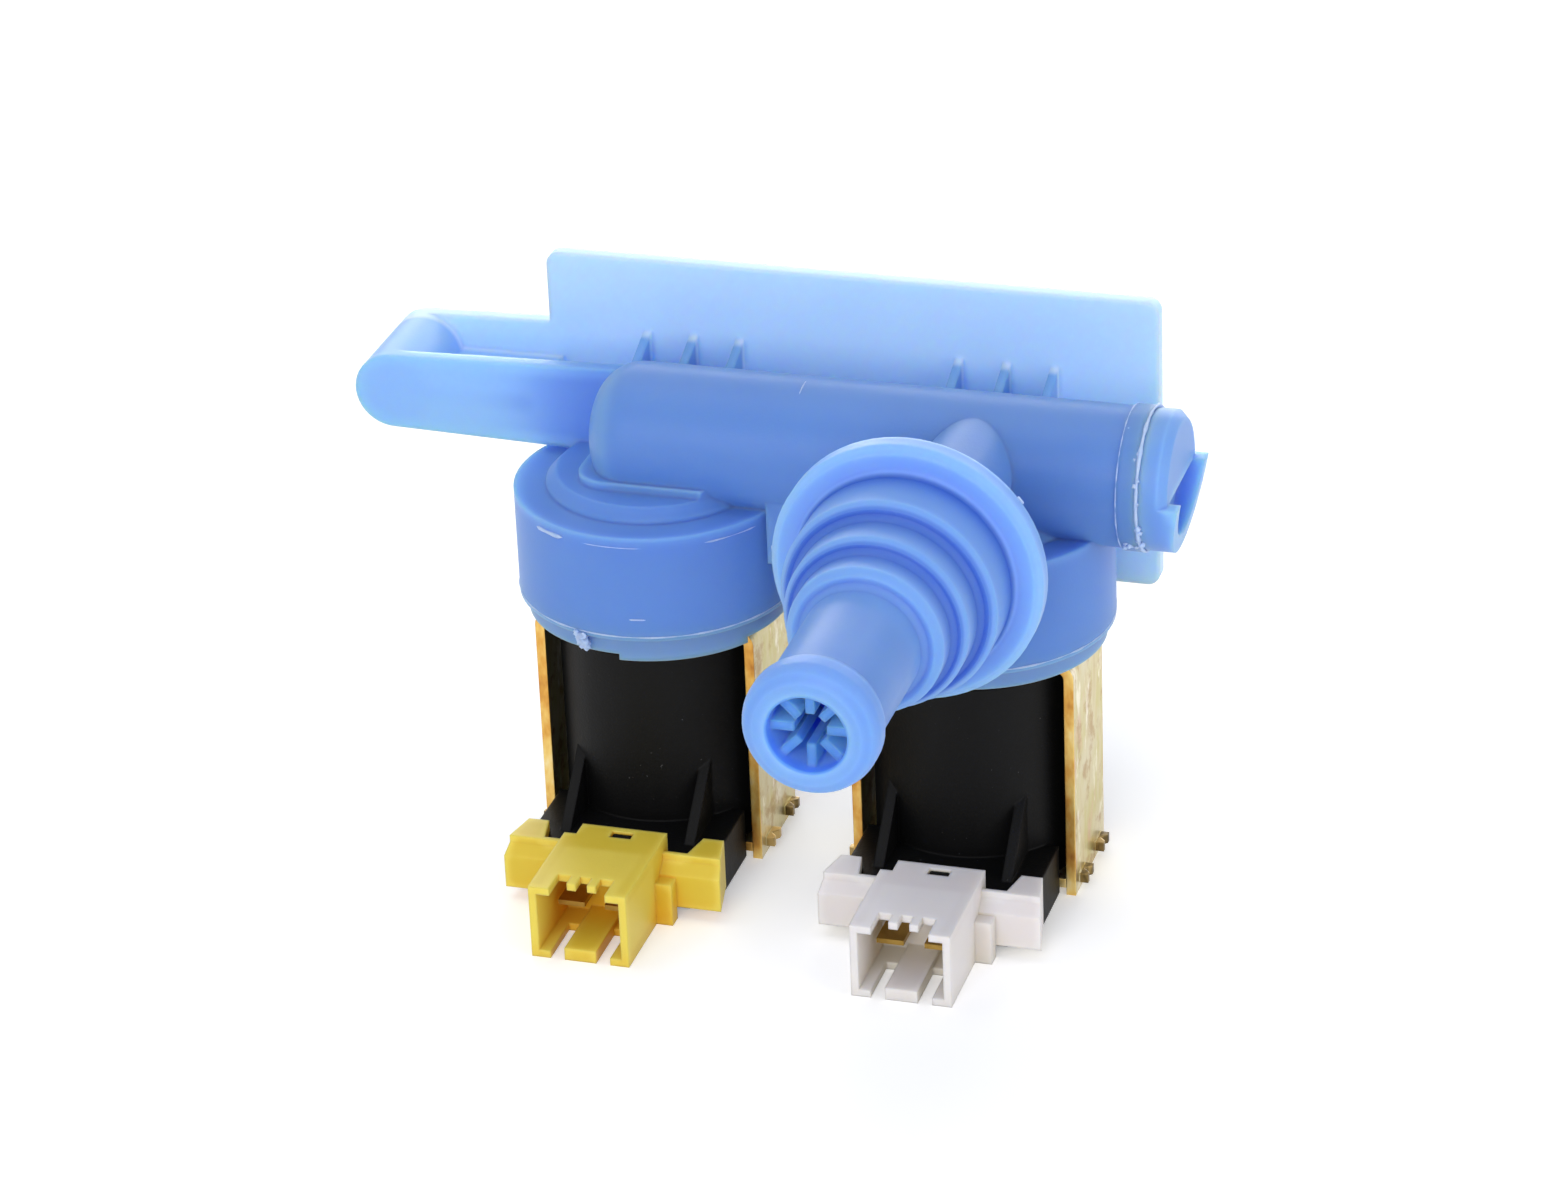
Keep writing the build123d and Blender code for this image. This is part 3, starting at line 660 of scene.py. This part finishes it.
def yellow_zinc():
    finish, shader, place = new_finish("yellow_zinc_steel", Metallic=1.0)
    x, y, _ = spread(place)
    clouds = noise(place, scale=85, detail=4, roughness=0.6)
    tint = noise(place, scale=140, detail=3, roughness=0.55, stretch=(1, 1.6, 0.5))
    grain = noise(place, scale=900, detail=3, roughness=0.6, stretch=(1, 1, 0.12))
    film = tint.node(
        "ShaderNodeValToRGB",
        {
            "stops": [
                (0.30, rgb(190, 168, 100)),
                (0.44, rgb(208, 194, 146)),
                (0.56, rgb(198, 186, 116)),
                (0.68, rgb(208, 170, 130)),
                (0.78, rgb(180, 182, 122)),
            ]
        },
        {"Fac": tint},
    )
    pale = clouds.between(0.35, 0.7).mix(film, rgb(212, 202, 170))
    pits = noise(place, scale=190, detail=5, roughness=0.7).between(0.5, 0.66)
    scrapes = noise(place, scale=300, detail=4, roughness=0.65, stretch=(1, 1, 0.4)).between(0.55, 0.68)
    aged = (0.7 * pits).mix(pale, rgb(168, 126, 58))
    worn = (0.65 * scrapes).mix(aged, rgb(246, 240, 224))
    sheared = abs(y - COIL_Y).between(*SHEARED_EDGE)
    burr = noise(place, scale=210, detail=4, roughness=0.6, stretch=(1, 1, 0.45))
    edge = burr.node(
        "ShaderNodeValToRGB",
        {
            "stops": [
                (0.30, rgb(176, 112, 56)),
                (0.44, rgb(214, 160, 78)),
                (0.56, rgb(232, 198, 116)),
                (0.70, rgb(240, 224, 172)),
            ]
        },
        {"Fac": burr},
    )
    staked = abs(abs(x) - SIDES["right"]).between(*STAKED_END)
    # The staked tab ends are dark: partly the burrs on the cut steel, partly painted shade around the
    # tabs.
    tab_burrs_and_shade = burr.between(0.35, 0.65).mix(rgb(56, 46, 30), rgb(188, 160, 104))
    feed(
        shader,
        Base_Color=staked.mix(sheared.mix(worn, edge), tab_burrs_and_shade),
        Roughness=0.26 + 0.16 * clouds + 0.08 * grain,
        Normal=bump(grain + 0.6 * clouds, strength=0.1, distance=0.0002, rounding=0.25 * MM),
    )
    return finish


zinc_finish = yellow_zinc()
for side in SIDES:
    dress(f"{side}_yoke_frame", zinc_finish)
    dress(f"{side}_yoke_base", zinc_finish)


# Coils
# The winding is enamelled copper, sealed in a black glass-filled moulding with a satin skin, light
# scuffs and a terminal block at its front foot.
def satin_black():
    finish, shader, place = new_finish("satin_black_moulding", Specular_IOR_Level=0.14)
    clouds = noise(place, scale=60, detail=4, roughness=0.6)
    streaks = noise(place, scale=220, detail=3, roughness=0.6, stretch=(1, 1, 0.2))
    specks = noise(place, scale=1500, detail=2).between(0.74, 0.8)
    skin = noise(place, scale=2400, detail=3) + 0.5 * streaks
    base = clouds.mix(rgb(6, 6, 6), rgb(11, 11, 12))
    feed(
        shader,
        Base_Color=(specks * 0.35).mix(base, rgb(110, 110, 112)),
        Roughness=0.42 + 0.2 * streaks,
        Normal=bump(skin, strength=0.15, distance=0.0003, rounding=0.5 * MM),
    )
    return finish


WIRE_PITCH = 0.4 * MM


def enamelled_copper():
    finish, shader, place = new_finish("enamelled_copper", Metallic=1.0)
    _, _, z = spread(place)
    turns = z * (2 * math.pi / WIRE_PITCH)
    rows = turns.math("SINE", turns)
    clouds = noise(place, scale=150, detail=3)
    feed(
        shader,
        Base_Color=clouds.mix(rgb(150, 78, 42), rgb(190, 108, 64)),
        Roughness=0.3 + 0.1 * clouds,
        Normal=bump(rows, strength=0.5, distance=0.0002, rounding=0.1 * MM),
    )
    return finish


black_finish = satin_black()
copper_finish = enamelled_copper()
LATCH_SIZE = (3.1 * MM, 1.5 * MM, 0.75 * MM)
LATCH_PLACE = (1.1 * MM, -51.4 * MM, -50.6 * MM)
LATCH_ROUNDING = 0.2 * MM


def latch_nib(side, x):
    """The tip of the coil's latch, a little domed, that fills the window in the socket's roof."""
    mesh = bmesh.new()
    nib = bmesh.ops.create_cube(mesh, size=1)["verts"]
    bmesh.ops.scale(mesh, verts=nib, vec=LATCH_SIZE)
    upper = [edge for edge in mesh.edges if all(vert.co.z > 0 for vert in edge.verts)]
    bmesh.ops.bevel(mesh, geom=upper, offset=LATCH_ROUNDING, segments=2, affect="EDGES")
    bmesh.ops.translate(mesh, verts=mesh.verts, vec=Vector(LATCH_PLACE) + Vector((x, 0, 0)))
    piece = finished_mesh(f"{side}_latch_nib", mesh, black_finish)
    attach(piece, "valve")


for side, x in SIDES.items():
    dress(f"{side}_coil_moulding", black_finish)
    dress(f"{side}_coil_winding", copper_finish)
    latch_nib(side, x)


# Plug sockets
# Moulded nylon sockets, yellow on the left and white on the right so that the plugs can't be
# swapped. They clip over the coil's terminal block and have a satin skin with small sink marks.
def satin_nylon(name, low, high, edge, hollow):
    finish, shader, place = new_finish(
        name,
        Subsurface_Weight=0.35,
        Subsurface_Radius=(1, 0.8, 0.5),
        Subsurface_Scale=0.003,
        Specular_IOR_Level=0.3,
    )
    clouds = noise(place, scale=130, detail=3, roughness=0.55)
    skin = noise(place, scale=2200, detail=3)
    # Painted light: paler along the edges and in thin walls.
    lit = 0.55 * thinness(place, 1.6 * MM)
    # Painted shade: a deeper tone in hollows and between the walls.
    shaded = 0.75 * (1 - openness(place, 9 * MM).between(0.15, 0.7))
    feed(
        shader,
        Base_Color=shaded.mix(lit.mix(clouds.mix(low, high), edge), hollow),
        Roughness=0.36 + 0.14 * clouds,
        Normal=bump(skin, strength=0.1, distance=0.0002, rounding=0.5 * MM),
    )
    return finish


# Each socket's colours: two tones of its own nylon, then a painted edge light and a painted shade for
# hollows.
yellow = (rgb(214, 187, 56), rgb(225, 199, 70), rgb(248, 228, 112), rgb(230, 160, 10))
white = (rgb(221, 214, 214), rgb(231, 226, 225), rgb(246, 242, 240), rgb(214, 204, 182))
dress("left_connector_shell", satin_nylon("yellow_nylon", *yellow))
dress("right_connector_shell", satin_nylon("white_nylon", *white))


# Terminal blades
# Stamped brass strips, a little tarnished, that stand in the sockets for the plug's contacts.
# Their tails are moulded into the coil's terminal block.
def dull_brass():
    finish, shader, place = new_finish("dull_brass", Metallic=1.0)
    clouds = noise(place, scale=400, detail=4)
    feed(
        shader,
        Base_Color=clouds.mix(rgb(150, 116, 50), rgb(196, 162, 88)),
        Roughness=0.32 + 0.2 * clouds,
    )
    return finish


brass_finish = dull_brass()
for side in SIDES:
    dress(f"{side}_terminal_blades", brass_finish)


# Studio
# A white sweep under the valve's feet, one large soft light at the front and weak fills, with the
# camera to the front right and a little above.
FLOOR_Z = -62 * MM
CAMERA_PLACE = Vector((0.2141, -0.7048, 0.3387))
CAMERA_AZIMUTH = math.radians(18.0)
CAMERA_ELEVATION = math.radians(26.72)
CAMERA_ROLL = math.radians(-2.43)
CAMERA_LENS = 122.0
SENSOR_WIDTH = 36.0


def seen_rays(wire):
    """1 where the camera sees a surface, directly, in a reflection or through it."""
    rays = wire.node("ShaderNodeLightPath").socket.node.outputs
    kinds = ("Is Camera Ray", "Is Glossy Ray", "Is Transmission Ray")
    direct, mirrored, through = (Wire(wire.tree, rays[kind]) for kind in kinds)
    return (direct + mirrored + through).at_most(1)


def studio_floor():
    mesh = bmesh.new()
    bmesh.ops.create_grid(mesh, x_segments=2, y_segments=2, size=6)
    bmesh.ops.translate(mesh, verts=mesh.verts, vec=(0, 0, FLOOR_Z))
    finish, shader, place = new_finish(
        "white_sweep",
        Base_Color=(0.9, 0.9, 0.9, 1),
        Roughness=0.9,
        Specular_IOR_Level=0.0,
        Emission_Strength=1.0,
    )
    x, y, _ = spread(place)
    far = (x * x + y * y).between(0.2, 1.0)
    feed(shader, Emission_Color=(0.3 + 0.4 * far) * seen_rays(place))
    finished_mesh("studio_floor", mesh, finish)


studio_floor()
world = bpy.data.worlds.new("studio")
bpy.context.scene.world = world
world.use_nodes = True
sky = world.node_tree.nodes["Background"]
brightness = 0.42 + 0.58 * seen_rays(Wire(world.node_tree))
sky.inputs["Color"].default_value = (1, 1, 1, 1)
world.node_tree.links.new(brightness.socket, sky.inputs["Strength"])


def soft_light(name, place, target, size, power):
    lamp = bpy.data.lights.new(name, "AREA")
    lamp.shape = "RECTANGLE"
    lamp.size, lamp.size_y = size
    lamp.energy = power
    holder = bpy.data.objects.new(name, lamp)
    holder.location = place
    holder.rotation_euler = (Vector(target) - Vector(place)).to_track_quat("-Z", "Y").to_euler()
    bpy.context.scene.collection.objects.link(holder)


soft_light("front_softbox", (0.0, -1.2, 0.5), (0, -0.03, -0.01), (0.7, 0.7), 7.5)
soft_light("right_fill", (1.1, -0.35, 0.3), (0, -0.03, -0.02), (0.7, 0.7), 3.5)
soft_light("top_softbox", (-0.3, 0.1, 1.2), (0, -0.03, 0), (0.9, 0.9), 4)
soft_light("rear_softbox", (-0.15, 1.2, 0.3), (0, 0, 0), (1.2, 0.7), 11)

lens = bpy.data.cameras.new("photo_view")
lens.sensor_width = SENSOR_WIDTH
lens.sensor_fit = "HORIZONTAL"
lens.lens = CAMERA_LENS
camera = bpy.data.objects.new("photo_view", lens)
sin_a, cos_a = math.sin(CAMERA_AZIMUTH), math.cos(CAMERA_AZIMUTH)
sin_e, cos_e = math.sin(CAMERA_ELEVATION), math.cos(CAMERA_ELEVATION)
backward = Vector((sin_a * cos_e, -cos_a * cos_e, sin_e))
level = Vector((cos_a, sin_a, 0))
upward = Vector((-sin_a * sin_e, cos_a * sin_e, cos_e))
right = math.cos(CAMERA_ROLL) * level + math.sin(CAMERA_ROLL) * upward
up = math.cos(CAMERA_ROLL) * upward - math.sin(CAMERA_ROLL) * level
facing = Matrix((right, up, backward)).transposed().to_4x4()
camera.matrix_world = Matrix.Translation(CAMERA_PLACE) @ facing
bpy.context.scene.collection.objects.link(camera)
bpy.context.scene.camera = camera
bpy.context.scene.view_settings.view_transform = "Standard"
